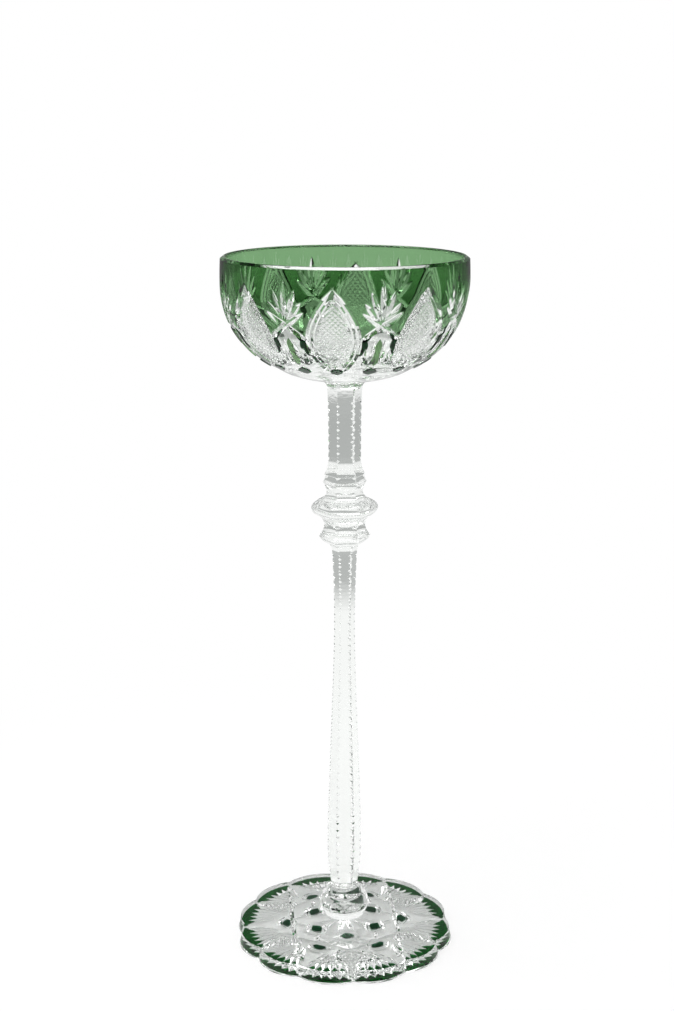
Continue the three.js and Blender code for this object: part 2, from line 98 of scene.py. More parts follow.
# Materials
def linear(colour):  # sRGB hex to linear
    shares = [int(colour[i:i + 2], 16) / 255 for i in (0, 2, 4)]
    return [c / 12.92 if c <= 0.04045 else ((c + 0.055) / 1.055) ** 2.4 for c in shares] + [1]


def addNode(tree, kind, settings=None, inputs=None, links=None):
    node = tree.nodes.new(kind)
    for name, value in (settings or {}).items():
        setattr(node, name, value)
    for name, value in (inputs or {}).items():
        node.inputs[name].default_value = value
    for name, source in (links or {}).items():
        tree.links.new(source, node.inputs[name])
    return node


def emptyTree(owner):
    owner.use_nodes = True
    owner.node_tree.nodes.clear()
    return owner.node_tree


inColour = {"data_type": "RGBA"}
softly = {"interpolation_type": "SMOOTHSTEP"}

# The surfaces that the glasses share: roughness of the haziest spots, pattern sizes, strength of the relief
glassIor = 1.54
firePolished = {"haze": 0.008, "grainMm": 9.0, "swellMm": 14.0, "relief": 0.03, "stretch": (1, 1, 1)}
thinLayer = {"haze": 0.008, "grainMm": 5.0, "swellMm": 6.0, "relief": 0.03, "stretch": (1, 1, 1)}
wheelPolished = {"haze": 0.012, "grainMm": 1.2, "swellMm": 2.4, "relief": 0.015, "stretch": (1, 1, 2.5)}
wheelSatin = {**wheelPolished, "haze": 0.35}


def glass(name, colour, surface, satin=0.0, clear=1.0, mirror="ffffff"):
    material = bpy.data.materials.new(name)
    tree = emptyTree(material)
    place = addNode(tree, "ShaderNodeTexCoord")
    stretch = addNode(tree, "ShaderNodeMapping", None, {"Scale": surface["stretch"]},
                      {"Vector": place.outputs["Object"]})
    grain = addNode(tree, "ShaderNodeTexNoise", None, {"Scale": 1000 / surface["grainMm"], "Detail": 3.0},
                    {"Vector": stretch.outputs["Vector"]})
    polish = addNode(tree, "ShaderNodeMapRange", None,
                     {"From Min": 0.35, "From Max": 0.75, "To Min": satin, "To Max": surface["haze"]},
                     {"Value": grain.outputs["Fac"]})
    swell = addNode(tree, "ShaderNodeTexNoise", None, {"Scale": 1000 / surface["swellMm"], "Detail": 1.0},
                    {"Vector": stretch.outputs["Vector"]})
    relief = addNode(tree, "ShaderNodeBump", None, {"Strength": surface["relief"], "Distance": 0.001},
                     {"Height": swell.outputs["Fac"]})
    shade = addNode(tree, "ShaderNodeBsdfPrincipled", None,
                    {"Base Color": linear(colour), "IOR": glassIor, "Transmission Weight": clear,
                     "Specular Tint": linear(mirror)},
                    {"Roughness": polish.outputs["Result"], "Normal": relief.outputs["Normal"]})
    addNode(tree, "ShaderNodeOutputMaterial", None, None, {"Surface": shade.outputs["BSDF"]})
    return material


# Blown lead crystal, fire polished: clear and bright, with the slow swell that blowing leaves in the wall
blownCrystal = glass("blown_lead_crystal", "fbfcfb", firePolished)
# The foot's crystal, pressed flat and polished: its broad face mirrors the room only softly
footCrystal = glass("polished_foot_crystal", "fbfcfb", firePolished, mirror="d0d0d0")
# Lead crystal cut by wheel and polished: crisp facets with a trace of the wheel's fine lines
cutCrystal = glass("wheel_cut_lead_crystal", "f6f8f6", wheelPolished)
# Fine hatching left satin by the wheel: it spreads the light, so that ovals and kites look white
satinCut = glass("satin_cut_lead_crystal", "fafcfa", wheelSatin, satin=0.12, clear=0.76)
# Green glass cased over the crystal and polished: pale green by one wall, deep green by two
casedGreen = glass("green_cased_glass", "7da879", firePolished, mirror="88b684")
# The same casing where a wheel slopes through it: thinner, so paler
slopedGreen = glass("wheel_cut_green_casing", "a9c4a7", wheelPolished)
# Long islands of casing on the bowl, where the gather was thicker: a middle green
thickGreen = glass("thick_green_casing", "67915c", thinLayer)
# Small islands low on the bowl, seen edge on: almost black green
darkGreen = glass("dark_green_casing", "12381c", thinLayer, mirror="707070")
# Casing under the foot, polished flat: its colour is at the join, because it is seen through the disc; that
# join is painted deeper, partly with painted shade of the table under the foot
footGreen = glass("green_foot_casing", "dcebdc", thinLayer, mirror="606060")


# Where casing lies on crystal, both of one index: only the green shows there, a little uneven
def casingJoin(name, pale, deep, driftMm=11.0):
    material = bpy.data.materials.new(name)
    tree = emptyTree(material)
    place = addNode(tree, "ShaderNodeTexCoord")
    layer = addNode(tree, "ShaderNodeTexNoise", None, {"Scale": 1000 / driftMm, "Detail": 1.0},
                    {"Vector": place.outputs["Object"]})
    green = addNode(tree, "ShaderNodeMix", inColour, {6: linear(pale), 7: linear(deep)},
                    {0: layer.outputs["Fac"]})
    shade = addNode(tree, "ShaderNodeBsdfPrincipled", None,
                    {"IOR": 1.0, "Roughness": 0.0, "Transmission Weight": 1.0},
                    {"Base Color": green.outputs[2]})
    addNode(tree, "ShaderNodeOutputMaterial", None, None, {"Surface": shade.outputs["BSDF"]})
    return material


bandJoin = casingJoin("green_band_join", "84ae80", "76a272")
thickJoin = casingJoin("thick_green_join", "6c9661", "628d57")
darkJoin = casingJoin("dark_green_join", "153c1f", "0f3419")
# Joins under the foot: deep green, partly the casing's own green, partly painted shade of the dark table
# beneath the foot
footJoinWithShade = casingJoin("green_foot_join_painted_shade", "0c4e18", "084111")
lozengeJoinWithShade = casingJoin("green_lozenge_join_painted_shade", "0e3a20", "0a3018")

# A join of hot glass to hot glass: nothing is left to see there
fusedJoin = bpy.data.materials.new("fused_glass_join")
joinTree = emptyTree(fusedJoin)
joinShade = addNode(joinTree, "ShaderNodeBsdfPrincipled", None,
                    {"Base Color": linear("ffffff"), "Alpha": 0.0, "Roughness": 0.0})
addNode(joinTree, "ShaderNodeOutputMaterial", None, None, {"Surface": joinShade.outputs["BSDF"]})
print("materials made")


# Shaping
seamGap = 0.004  # between a casing and its crystal, so that their two joins never lie in one plane
runOut = 0.1  # how far above the surface a stroke ends
hatchLift = 0.15  # how far above the cut ground a stroke of the hatching opens
weldGap = 0.0005
crumbSize = 1.5  # smaller chips, left where cuts meet, are taken away
nodeReach = 0.0025  # metres, from an island of casing to the node that it stands for


def sweep(sections, capIndex=0):  # a closed bar through rings of equal point count
    bm = bmesh.new()
    ring = [bm.verts.new(point) for point in sections[0]]
    edges = [bm.edges.new((ring[i - 1], ring[i])) for i in range(len(ring))]
    first = list(edges)
    for section in sections[1:]:
        spots = {tuple(vert.co): i for i, vert in enumerate(ring)}
        made = bmesh.ops.extrude_edge_only(bm, edges=edges)["geom"]
        for vert in [part for part in made if isinstance(part, bmesh.types.BMVert)]:
            ring[spots[tuple(vert.co)]] = vert
        for vert, point in zip(ring, section):
            vert.co = point
        edges = [part for part in made if isinstance(part, bmesh.types.BMEdge) and part.is_boundary]
    for rim in (first, edges):
        for face in bmesh.ops.contextual_create(bm, geom=rim)["faces"]:
            face.material_index = capIndex
    bmesh.ops.recalc_face_normals(bm, faces=bm.faces[:])
    return bm


def repeatRound(bm, count):  # copies round the axis
    bmesh.ops.spin(bm, geom=bm.verts[:] + bm.edges[:] + bm.faces[:], cent=(0, 0, 0), axis=(0, 0, 1),
                   angle=2 * math.pi * (count - 1) / count, steps=count - 1, use_duplicate=True)


def lathe(parts, count, wedges=8):  # parts are lines of (radius, height), each with its material index
    bm = bmesh.new()
    for line, index in parts:
        verts = [bm.verts.new((0, -radius, height)) for radius, height in line]
        edges = [bm.edges.new(pair) for pair in zip(verts, verts[1:])]
        before = set(bm.faces)
        bmesh.ops.spin(bm, geom=verts + edges, cent=(0, 0, 0), axis=(0, 0, 1),
                       angle=2 * math.pi / wedges, steps=count // wedges)
        for face in set(bm.faces) - before:
            face.material_index = index
    repeatRound(bm, wedges)
    bmesh.ops.remove_doubles(bm, verts=bm.verts[:], dist=weldGap)
    bmesh.ops.recalc_face_normals(bm, faces=bm.faces[:])
    return bm


def wheelStroke(place, path, depths, flare, lift=0.45):  # a V cut along a path on a surface
    sections = []
    for i, (u, v) in enumerate(path):
        spot = place(u, v, 0)
        out = (place(u, v, 1) - spot).normalized()
        ahead = place(*path[min(i + 1, len(path) - 1)], 0) - place(*path[max(i - 1, 0)], 0)
        side = out.cross(ahead).normalized() * (depths[i] + lift) * flare
        sections.append([spot + out * lift + side, spot - out * depths[i], spot + out * lift - side])
    return sweep(sections)


def patch(place, rows, below, above, columns):  # a slab on a surface from rows of (v, left, right)
    sections = []
    for v, left, right in rows:
        across = steps(columns, left, right)
        top = [place(u, v, above) for u in across]
        sections.append(top + [place(u, v, -below) for u in reversed(across)])
    return sweep(sections)


def leafDepths(count, deepest, fullness):  # runs out slowly at both ends
    return [-runOut + (deepest + runOut) * max(math.sin(math.pi * t), 0) ** fullness
            for t in steps(count, 0.0, 1.0)]


def mitreDepths(count, deepest, lead, tail):  # runs out within a few points of each end
    return [-runOut + (deepest + runOut) * min(1, (i / lead) ** 0.8, ((count - 1 - i) / tail) ** 0.8)
            for i in range(count)]


def straightPath(first, last, count):
    return list(zip(steps(count, first[0], last[0]), steps(count, first[1], last[1])))


def makeObject(name, bm, materials, home=None):
    mesh = bpy.data.meshes.new(name)
    bm.to_mesh(mesh)
    bm.free()
    for material in materials:
        mesh.materials.append(material)
    piece = bpy.data.objects.new(name, mesh)
    (home or scene.collection).objects.link(piece)
    return piece


def addTo(joined, bm):  # moves one shape into a larger one
    mesh = bpy.data.meshes.new("stroke")
    bm.to_mesh(mesh)
    bm.free()
    joined.from_mesh(mesh)
    bpy.data.meshes.remove(mesh)


def cutterBox(name):
    box = bpy.data.collections.new(name)
    scene.collection.children.link(box)
    return box


def addCutter(box, bm, repeats=1, turn=0.0, finish=cutCrystal):  # the same cut repeated round the axis
    if turn:
        bmesh.ops.rotate(bm, verts=bm.verts[:], cent=(0, 0, 0),
                         matrix=Matrix.Rotation(math.radians(turn), 3, "Z"))
    if repeats > 1:
        repeatRound(bm, repeats)
    bmesh.ops.recalc_face_normals(bm, faces=bm.faces[:])
    return makeObject("cutter", bm, [finish], box)


def addHatch(box, most, pointsInside, strokeBetween, repeats):  # two families of parallel strokes, left satin
    for slant in (-1, 1):
        for odd in (0, 1):  # every second stroke on one cutter, so that the strokes of a cutter stay apart
            joined = bmesh.new()
            for k in range(-most + odd, most + 1, 2):
                inside = pointsInside(k, slant)
                if len(inside) > 5:
                    addTo(joined, strokeBetween(inside[0], inside[-1]))
            addCutter(box, joined, repeats, finish=satinCut)


def combine(body, box, operation):  # the cut faces keep the cutter's material
    work = body.modifiers.new("work", "BOOLEAN")
    work.operation = operation
    work.operand_type = "COLLECTION"
    work.collection = box
    work.solver = "MANIFOLD"
    work.material_mode = "TRANSFER"
    graph = bpy.context.evaluated_depsgraph_get()
    settled = bpy.data.meshes.new_from_object(body.evaluated_get(graph))
    body.modifiers.remove(work)
    worn = body.data
    body.data = settled
    bpy.data.meshes.remove(worn)


def clearBox(box):
    for cutter in list(box.objects):
        worn = cutter.data
        bpy.data.objects.remove(cutter)
        bpy.data.meshes.remove(worn)
    bpy.data.collections.remove(box)


def moveInto(box, piece):
    scene.collection.objects.unlink(piece)
    box.objects.link(piece)


def paint(piece, swaps):  # changes materials slot by slot
    for i, material in enumerate(piece.data.materials):
        piece.data.materials[i] = swaps.get(material, material)


def looseParts(piece):  # the islands of a mesh, without its crumbs
    bpy.ops.object.select_all(action="DESELECT")
    bpy.context.view_layer.objects.active = piece
    piece.select_set(True)
    bpy.ops.object.mode_set(mode="EDIT")
    bpy.ops.mesh.select_all(action="SELECT")
    bpy.ops.mesh.separate(type="LOOSE")
    bpy.ops.object.mode_set(mode="OBJECT")
    parts = list(bpy.context.selected_objects)
    bpy.ops.object.select_all(action="DESELECT")
    for crumb in [part for part in parts if max(part.dimensions) < crumbSize]:
        parts.remove(crumb)
        bpy.data.objects.remove(crumb)
    return parts


def middle(piece):
    corners = [Vector(corner) for corner in piece.bound_box]
    return (corners[0] + corners[6]) / 2


def finishPiece(piece, nodes=(), sharpAngle=14):
    piece.data.transform(Matrix.Scale(toMetres, 4))
    piece.data.polygons.foreach_set("use_smooth", [True] * len(piece.data.polygons))
    piece.data.set_sharp_from_angle(angle=math.radians(sharpAngle))
    piece.data.update()
    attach(piece, "root")
    if nodes:
        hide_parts(*nodes)


nodeMiddle = {name: (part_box(name)[0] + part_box(name)[1]) / 2 for name in frame["nodes"]}


def nearestNode(piece, family):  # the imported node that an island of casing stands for
    spot = middle(piece) * toMetres
    gap = {name: (place - spot).length for name, place in nodeMiddle.items() if name.startswith(family)}
    nearest = min(gap, key=gap.get)
    return nearest, gap[nearest]


# Bowl: the outside line by distance along the wall from the rim, which is called its run
bowl = {
    "rimZ": 281.8, "baseZ": 234.2, "rim": 47.5, "widest": 47.77, "belt": 9.6, "fullness": 2.2,
    "seat": 9.4, "inside": 45.1, "insideDepth": 33.0,
    "lipRound": 0.7,  # radius of the lip
    "lipInset": 1.5,  # from the rim to the middle of the lip
    "casing": 0.4,  # green layer
    "field": 0.5,  # how deep the ground between the green is taken off
    "lip": 1.05,  # clear edge above the green
    "baseRun": 50.0,  # the green ends here, under the bowl
    "turn": -10.5,  # degrees on the stem
    "repeats": 8,
    "segments": 240,
}
beltZ = bowl["rimZ"] - bowl["belt"]
power = 2 / bowl["fullness"]
seatShare = bowl["seat"] / bowl["widest"]
lowestShare = (1 - seatShare ** bowl["fullness"]) ** (1 / bowl["fullness"])
bowlLine = []
for share in steps(25, 0, 1):
    radius = bowl["rim"] + (bowl["widest"] - bowl["rim"]) * (1 - (1 - share) ** 2)
    bowlLine.append(Vector((radius, bowl["rimZ"] - bowl["belt"] * share)))
for share in steps(181, 0, 1)[1:]:
    swing = share * math.acos(seatShare ** (bowl["fullness"] / 2))
    fall = (beltZ - bowl["baseZ"]) / lowestShare * math.sin(swing) ** power
    bowlLine.append(Vector((bowl["widest"] * math.cos(swing) ** power, beltZ - fall)))
bowlRun = [0]
for before, after in zip(bowlLine, bowlLine[1:]):
    bowlRun.append(bowlRun[-1] + (after - before).length)


def wallSpot(run, height):  # (radius, height) of a point on the wall or off it
    limit = min(max(run, 0), bowlRun[-1] - 1e-6)
    i = max(1, bisect.bisect_right(bowlRun, limit))
    share = (limit - bowlRun[i - 1]) / (bowlRun[i] - bowlRun[i - 1])
    along = (bowlLine[min(i + 1, len(bowlLine) - 1)] - bowlLine[max(i - 2, 0)]).normalized()
    return bowlLine[i - 1].lerp(bowlLine[i], share) + Vector((-along.y, along.x)) * height


def wallLine(height, count, first, last):
    return [tuple(wallSpot(run, height)) for run in steps(count, first, last)]


def onBowl(angle, run, height):
    spot = wallSpot(run, height)
    return around(angle, spot.x, spot.y)


def degreesOnBowl(width, run):
    return math.degrees(width / wallSpot(run, 0).x)


lipMiddle = bowl["rim"] - bowl["lipInset"]
lipLine = [tuple(wallSpot(bowl["lip"], 0))]  # a bevel through the green, then a rounded edge
for swing in steps(13, math.pi * 0.2, math.pi):
    lipLine.append((lipMiddle + bowl["lipRound"] * math.cos(swing),
                    bowl["rimZ"] - bowl["lipRound"] * (1 - math.sin(swing))))
lipFoot = Vector(lipLine[-1])
lipLine += [tuple(lipFoot.lerp(Vector((bowl["inside"], beltZ)), t)) for t in steps(8, 0, 1)[1:]]
insideLine = []
for share in steps(49, 0, 1):
    swing = share * math.pi / 2
    reach = bowl["inside"] * max(math.cos(swing), 0) ** power if share < 1 else 0
    insideLine.append((reach, beltZ - bowl["insideDepth"] * math.sin(swing) ** power))
casingSeam = wallLine(-bowl["casing"], 46, bowl["baseRun"], bowl["lip"])
crystalSeam = wallLine(-bowl["casing"] - seamGap, 46, bowl["baseRun"], bowl["lip"])
underLine = wallLine(0, 14, bowlRun[-1], bowl["baseRun"])
underLine[0] = (bowl["seat"], bowl["baseZ"])
outerLine = wallLine(0, 46, bowl["lip"], bowl["baseRun"])

bowlPiece = makeObject("blown_bowl", lathe([
    ([(0, bowl["baseZ"]), (bowl["seat"], bowl["baseZ"])], 1),
    (underLine, 0),
    ([underLine[-1], crystalSeam[0]], 1),
    (crystalSeam, 1),
    ([crystalSeam[-1], lipLine[0]], 1),
    (lipLine, 0),
    (insideLine, 0),
], bowl["segments"]), [blownCrystal, fusedJoin])
casing = makeObject("green_band", lathe([
    (outerLine, 0),
    ([outerLine[-1], casingSeam[0]], 1),
    (casingSeam, 1),
    ([casingSeam[-1], outerLine[0]], 1),
], bowl["segments"]), [blownCrystal, fusedJoin])

# The cutting of the bowl: ovals with crosshatch, palm fans and crossing strokes between them
fanAngle = 180 / bowl["repeats"]  # the fans stand half way between the ovals
ovals = {
    "top": 7.8, "bottom": 47.0, "half": 12.6, "widestAt": 0.56,
    "closing": 0.8,  # 1 would close the lower end to a point
    "mitre": 1.25, "past": (1.3, 0.6),  # the outline runs past the upper and the lower end
    "inner": 1.9, "innerMitre": 1.15, "short": (2.4, 1.5),  # the inner one stops short of them
}
hatch = {
    "wide": 2.1, "tall": 1.95, "depth": 0.3, "flare": 2.35,
    "inset": 2.5, "short": (3, 1.5),  # kept off the sides and the ends of the oval
    "most": 26, "reach": 36, "piece": 1.8,  # lines each way, half their length, length between points
}
fans = {"at": 21.8, "leaves": 5, "spread": 37.0, "long": 17.4, "short": 11.6, "start": 1.4, "depth": 1.35}
cross = {"upperLong": 9.8, "lean": 55.0, "drop": 6.4, "half": 11.0, "pastHalf": 0.8, "pastDrop": 0.5,
         "depth": 1.55}
lenses = {"top": 27.0, "bottom": 41.0, "width": 3.7, "roundness": 2.4}
lensLeaves = (  # the clear leaves on each side of a lens: degrees from its middle, mm from its top and bottom
    {"upper": 2.3, "top": -1.0, "lower": 3.8, "bottom": 1.0, "depth": 1.25, "points": 15},
    {"upper": 6.4, "top": 3.5, "lower": 6.9, "bottom": 2.0, "depth": 1.15, "points": 13},
)
drops = {"at": 45.6, "long": 5.0, "width": 5.4, "roundness": 1.6}
slivers = {"top": 23.2, "bottom": 36.4, "width": 4.8, "under": 0.6}
ovalRays = {"top": 38.6, "bottom": 44.4, "shorter": 1.2, "upper": 2.2, "lower": 6.2, "depth": 1.3}
ground = {
    "from": 44.6, "to": 57.0, "fade": 6.0, "proud": 0.06,  # the belt round the drops
    "belowOval": 0.4, "belowFan": 0.3, "lap": 0.7,
    "tops": (0.8, 0.9, 1.0),  # different, so that no two cutters have faces in one plane
}


def ovalHalf(run):  # half width of the oval in degrees
    share = (run - ovals["top"]) / (ovals["bottom"] - ovals["top"])
    if share < ovals["widestAt"]:
        return ovals["half"] * math.sin(math.pi / 2 * share / ovals["widestAt"])
    past = (share - ovals["widestAt"]) / (1 - ovals["widestAt"])
    return ovals["half"] * math.cos(math.pi / 2 * past * ovals["closing"])


def crossArm(run):  # degrees from the fan's middle to a crossing stroke
    return (run - fans["at"]) / cross["drop"] * cross["half"]


def keepGreen(rows, through=3.0):
    addCutter(keep, patch(onBowl, rows, through, through, 3), bowl["repeats"])


def pointedRows(runs, width, roundness, angle):  # an island that is pointed at both ends
    rows = []
    for run, t in zip(runs, steps(len(runs), 0, 1)):
        half = degreesOnBowl(width / 2 * max(1 - abs(2 * t - 1) ** roundness, 0.03), run)
        rows.append((run, angle - half, angle + half))
    return rows


keep = cutterBox("kept_green")
runs = steps(9, drops["at"] - drops["long"] / 2, drops["at"] + drops["long"] / 2)
for angle in (0.0, fanAngle):
    keepGreen(pointedRows(runs, drops["width"], drops["roundness"], angle))
runs = steps(13, lenses["top"], lenses["bottom"])
keepGreen(pointedRows(runs, lenses["width"], lenses["roundness"], fanAngle))
for side in (-1, 1):
    rows = []
    for run, t in zip(steps(13, slivers["top"], slivers["bottom"]), steps(13, 0, 1)):
        outer = min(crossArm(run), fanAngle - ovalHalf(run)) + slivers["under"]
        inner = outer - slivers["width"] * max(math.sin(math.pi * t) ** 0.75, 0.02)
        rows.append((run, fanAngle + side * outer, fanAngle + side * inner))
    keepGreen(rows)

grounds = cutterBox("bowl_ground")
runs = steps(33, ovals["top"] + ground["belowOval"], ovals["bottom"])
rows = [(run, -ovalHalf(run), ovalHalf(run)) for run in runs]
addCutter(grounds, patch(onBowl, rows, bowl["field"], ground["tops"][0], 15), bowl["repeats"])
rows = []
for run in steps(29, fans["at"] + ground["belowFan"], ovals["bottom"]):
    half = min(crossArm(run), fanAngle - ovalHalf(run) + ground["lap"])
    rows.append((run, fanAngle - half, fanAngle + half))
addCutter(grounds, patch(onBowl, rows, bowl["field"], ground["tops"][1], 15), bowl["repeats"])
groundLine = []
for run in steps(16, ground["from"], ground["to"]):
    fade = min(max((ground["to"] - run) / ground["fade"], 0), 1)
    groundLine.append(tuple(wallSpot(run, ground["proud"] - (bowl["field"] + ground["proud"]) * fade)))
aboveLine = wallLine(ground["tops"][2], 16, ground["to"], ground["from"])
field = makeObject("field", lathe([
    (groundLine, 0), ([groundLine[-1], aboveLine[0]], 0), (aboveLine, 0), ([aboveLine[-1], groundLine[0]], 0),
], bowl["segments"]), [cutCrystal])
combine(field, grounds, "UNION")
combine(field, keep, "DIFFERENCE")
clearBox(grounds)
clearBox(keep)

bowlCuts = cutterBox("bowl_cuts")
moveInto(bowlCuts, field)


def bowlStroke(path, depths, flare):
    addCutter(bowlCuts, wheelStroke(onBowl, path, depths, flare), bowl["repeats"])


for side in (-1, 1):  # the two outlines of each oval
    runs = steps(34, ovals["top"] - ovals["past"][0], ovals["bottom"] + ovals["past"][1])
    bowlStroke([(side * ovalHalf(run), run) for run in runs], mitreDepths(34, ovals["mitre"], 4, 3), 1.0)
    runs = steps(30, ovals["top"] + ovals["short"][0], ovals["bottom"] - ovals["short"][1])
    path = [(side * (ovalHalf(run) - degreesOnBowl(ovals["inner"], run)), run) for run in runs]
    bowlStroke(path, mitreDepths(30, ovals["innerMitre"], 3, 3), 1.1)

hatchLean = math.atan2(hatch["tall"], hatch["wide"])
hatchSpacing = hatch["wide"] * math.sin(hatchLean)
ovalHeart = (ovals["top"] + ovals["bottom"]) / 2


def insideOval(k, slant):  # the points of one hatch line that an oval holds
    inside = []
    for t in steps(241, -hatch["reach"], hatch["reach"]):
        x = k * hatchSpacing * math.sin(hatchLean) + t * math.cos(hatchLean)
        run = ovalHeart + slant * (-k * hatchSpacing * math.cos(hatchLean) + t * math.sin(hatchLean))
        if not ovals["top"] + hatch["short"][0] < run < ovals["bottom"] - hatch["short"][1]:
            continue
        if abs(degreesOnBowl(x, run)) < ovalHalf(run) - degreesOnBowl(hatch["inset"], run):
            inside.append((x, run))
    return inside


def ovalHatch(first, last):
    count = max(4, int(math.dist(first, last) / hatch["piece"]))
    path = [(degreesOnBowl(x, run), run) for x, run in straightPath(first, last, count)]
    end = bowl["field"] - runOut
    depths = [end] + [bowl["field"] + hatch["depth"]] * (count - 2) + [end]
    return wheelStroke(onBowl, path, depths, hatch["flare"], hatchLift - bowl["field"])


addHatch(bowlCuts, hatch["most"], insideOval, ovalHatch, bowl["repeats"])

fanScale = wallSpot(fans["at"], 0).x


def fromFan(tilt, reach):  # a point at a distance from the heart of the fan
    return (fanAngle + math.degrees(math.sin(tilt) * reach / fanScale), fans["at"] - math.cos(tilt) * reach)


for share in steps(fans["leaves"], -1, 1):  # the leaves of the palm fan
    tilt = math.radians(fans["spread"] * share)
    long = fans["long"] + (fans["short"] - fans["long"]) * abs(share)
    path = straightPath(fromFan(tilt, fans["start"]), fromFan(tilt, long), 13)
    bowlStroke(path, leafDepths(13, fans["depth"], 0.6), 1.2)
for side in (-1, 1):  # the crossing strokes under the fan, whose upper ends are its lowest leaves
    upper = fromFan(-side * math.radians(cross["lean"]), cross["upperLong"])
    lower = (fanAngle + side * (cross["half"] + cross["pastHalf"]),
             fans["at"] + cross["drop"] + cross["pastDrop"])
    bowlStroke(straightPath(upper, lower, 19), leafDepths(19, cross["depth"], 0.45), 1.2)
    for leaf in lensLeaves:
        first = (fanAngle + side * leaf["upper"], lenses["top"] + leaf["top"])
        last = (fanAngle + side * leaf["lower"], lenses["bottom"] + leaf["bottom"])
        path = straightPath(first, last, leaf["points"])
        bowlStroke(path, leafDepths(leaf["points"], leaf["depth"], 0.6), 1.15)
for share in (-1, 0, 1):  # short rays at the foot of each oval
    first = (share * ovalRays["upper"], ovalRays["top"])
    last = (share * ovalRays["lower"], ovalRays["bottom"] - abs(share) * ovalRays["shorter"])
    bowlStroke(straightPath(first, last, 9), leafDepths(9, ovalRays["depth"], 0.6), 1.1)
for piece in (bowlPiece, casing):
    combine(piece, bowlCuts, "DIFFERENCE")
    piece.data.transform(Matrix.Rotation(math.radians(bowl["turn"]), 4, "Z"))
clearBox(bowlCuts)
paint(casing, {blownCrystal: casedGreen, cutCrystal: slopedGreen, fusedJoin: bandJoin})
finishPiece(bowlPiece, ["bowl_crystal"])
counts = {"lens": 0, "drop": 0, "sliver": 0}
for island in looseParts(casing):
    if max(island.dimensions) > bowl["rim"]:
        island.name = "green_band"
        finishPiece(island, ["bowl_casing"])
        continue
    kind, nodes = "sliver", []
    for family in ("drop", "lens"):
        node, gap = nearestNode(island, "casing_" + family)
        if gap < nodeReach:
            kind, nodes = family, [node]
    counts[kind] += 1
    island.name = nodes[0].replace("casing", "green") if nodes else "green_sliver_" + str(counts[kind])
    green, join = (thickGreen, thickJoin) if kind == "lens" else (darkGreen, darkJoin)
    paint(island, {casedGreen: green, slopedGreen: green, bandJoin: join})
    finishPiece(island, nodes)
print("bowl cut:", len(bowlPiece.data.polygons), "faces,", counts)


# Stem: rings with the same count of points, so that each piece ends on the ring where the next one starts
stem = {
    "sides": 6, "perSide": 10,
    "footTop": 9.0,  # the stem stands on the foot here, and the heights follow upwards
    "button": 12.0, "lowerShank": 147.2, "lowerCollar": 8.4, "knop": 13, "upperCollar": 6.8,
    "upperShank": 34.2, "merese": 3.6,
}
nicks = {"pitch": 3.1, "depth": 0.45, "flare": 1.4, "margin": 3.2, "over": 0.6, "halfLong": 4}


def stemRing(radius, height, roundness=0.0):  # corner radius, six-sided to round
    panel = 360 / stem["sides"]
    points = []
    for k in range(stem["sides"]):
        for j in range(stem["perSide"]):
            angle = panel * (k - 0.5) + panel * j / stem["perSide"]
            flat = math.cos(math.radians(panel / 2)) / math.cos(math.radians(angle - panel * k))
            points.append(around(angle, radius * (flat + (1 - flat) * roundness), height))
    return points


def smoothLine(points, count):  # a smooth line through points, ends kept
    spots = [Vector(point) for point in points]
    spots = [spots[0] * 2 - spots[1]] + spots + [spots[-1] * 2 - spots[-2]]
    line = []
    for a, b, c, d in zip(spots, spots[1:], spots[2:], spots[3:]):
        for t in steps(count, 0, 1)[:-1]:
            line.append(0.5 * (b * 2 + (c - a) * t + (a * 2 - b * 5 + c * 4 - d) * t * t
                               + (b * 3 - a - c * 3 + d) * t ** 3))
    return line + [spots[-2]]


def bends(*points, count=9):  # curves of (radius, height): every second point is a corner that is cut off
    line = [Vector(points[0])]
    for first, corner, last in zip(points[::2], points[1::2], points[2::2]):
        a, b, c = Vector(first), Vector(corner), Vector(last)
        line += [a * (1 - t) ** 2 + b * 2 * t * (1 - t) + c * t * t for t in steps(count, 0, 1)[1:]]
    return line


def softRings(line, base, softness):  # six-sided at both ends and softened by polishing between
    top = line[-1].y
    rings = []
    for spot in line:
        middleShare = math.sin(math.pi * spot.y / top) ** 0.6 if 0 < spot.y < top else 0
        rings.append(stemRing(spot.x, base + spot.y, softness * middleShare))
    return rings


def nickBox(radiusAt, base, height):  # V nicks over every corner of a shank
    count = int((height - nicks["margin"] * 2) / nicks["pitch"])
    start = (height - count * nicks["pitch"]) / 2
    half = (nicks["depth"] + nicks["over"]) * nicks["flare"]
    joined = bmesh.new()
    for i in range(count):
        rise = start + (i + 0.5) * nicks["pitch"]
        radius = radiusAt(rise / height)
        outer = radius + nicks["over"]
        outline = [(radius - nicks["depth"], 0), (outer, half), (outer, -half)]
        addTo(joined, sweep([[Vector((reach, across, base + rise + up)) for reach, up in outline]
                             for across in (-nicks["halfLong"], nicks["halfLong"])]))
    box = cutterBox("nicks")
    addCutter(box, joined, stem["sides"])
    return box


def stemPiece(name, rings, finish, node, sharpAngle, cuts=None):
    piece = makeObject(name, sweep(rings, 1), [finish, fusedJoin])
    if cuts:
        combine(piece, cuts, "DIFFERENCE")
        clearBox(cuts)
    finishPiece(piece, [node], sharpAngle)


shankBase = stem["footTop"] + stem["button"]
buttonLine = smoothLine([(8.4, 0), (10, 4.08), (9.0, 8.9), (5.9, 12)], 12)
rings = [stemRing(spot.x, stem["footTop"] + spot.y, 1.0) for spot in buttonLine] + [stemRing(5.4, shankBase)]
stemPiece("button", rings, blownCrystal, "foot_button", 30)

shankLine = smoothLine([(0, 5.4), (0.17, 6.9), (0.72, 4.3), (0.965, 4.833), (1, 5.9)], 40)


def lowerRadius(share):
    i = next((i for i in range(1, len(shankLine)) if shankLine[i].x >= share - 1e-9), len(shankLine) - 1)
    low, high = shankLine[i - 1], shankLine[i]
    return low.y + (high.y - low.y) * (share - low.x) / (high.x - low.x)


